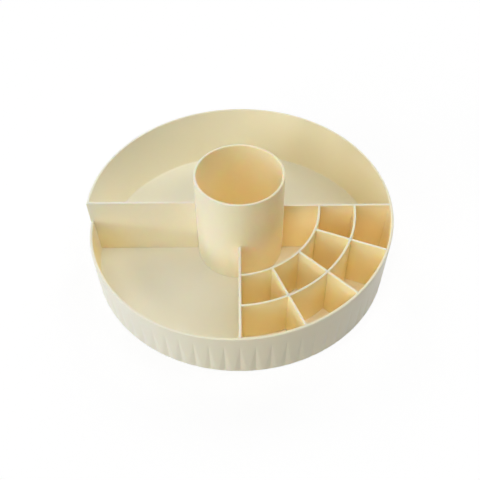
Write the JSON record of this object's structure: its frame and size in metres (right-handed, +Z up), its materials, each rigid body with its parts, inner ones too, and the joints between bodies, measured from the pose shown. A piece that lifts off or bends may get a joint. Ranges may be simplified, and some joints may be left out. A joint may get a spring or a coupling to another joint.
{
  "type": "makeup organizer",
  "caption": "Round ivory tray with a rising fluted wall, a lift-out brush cup in the middle, open compartments behind and at the left, and a quarter of lipstick cells.",
  "frame": {"origin": "on the table under the middle of the tray, on the brush cup's axis", "axes": "+Z up along the brush cup; +X to the right along the cross divider; the front divider runs along -Y, with the quarter of small cells at +X -Y"},
  "size_m": [0.2399, 0.2397, 0.0863],
  "materials": {
    "tray": "fine matt ivory moulding",
    "cup": "fine matt ivory moulding",
    "dividers": "fine matt ivory panel",
    "cell_walls": "fine matt ivory panel",
    "pads": "soft translucent non-slip rubber"
  },
  "bodies": {
    "tray": {"tray_shell": "tray", "cross_divider_left": "dividers", "cross_divider_right": "dividers", "front_divider": "dividers", "inner_arc_wall": "cell_walls", "outer_arc_wall": "cell_walls", "radial_wall_1": "cell_walls", "radial_wall_2": "cell_walls", "radial_wall_3": "cell_walls", "foot_pad_1": "pads", "foot_pad_2": "pads", "foot_pad_3": "pads", "foot_pad_4": "pads", "foot_pad_5": "pads", "foot_pad_6": "pads"},
    "brush_cup": {"brush_cup": "cup"}
  },
  "joints": [
    {"name": "brush_cup_lift", "type": "slide", "parent": "tray", "child": "brush_cup", "axis": [0, 0, 1], "range_m": [0, 0.06]}
  ]
}
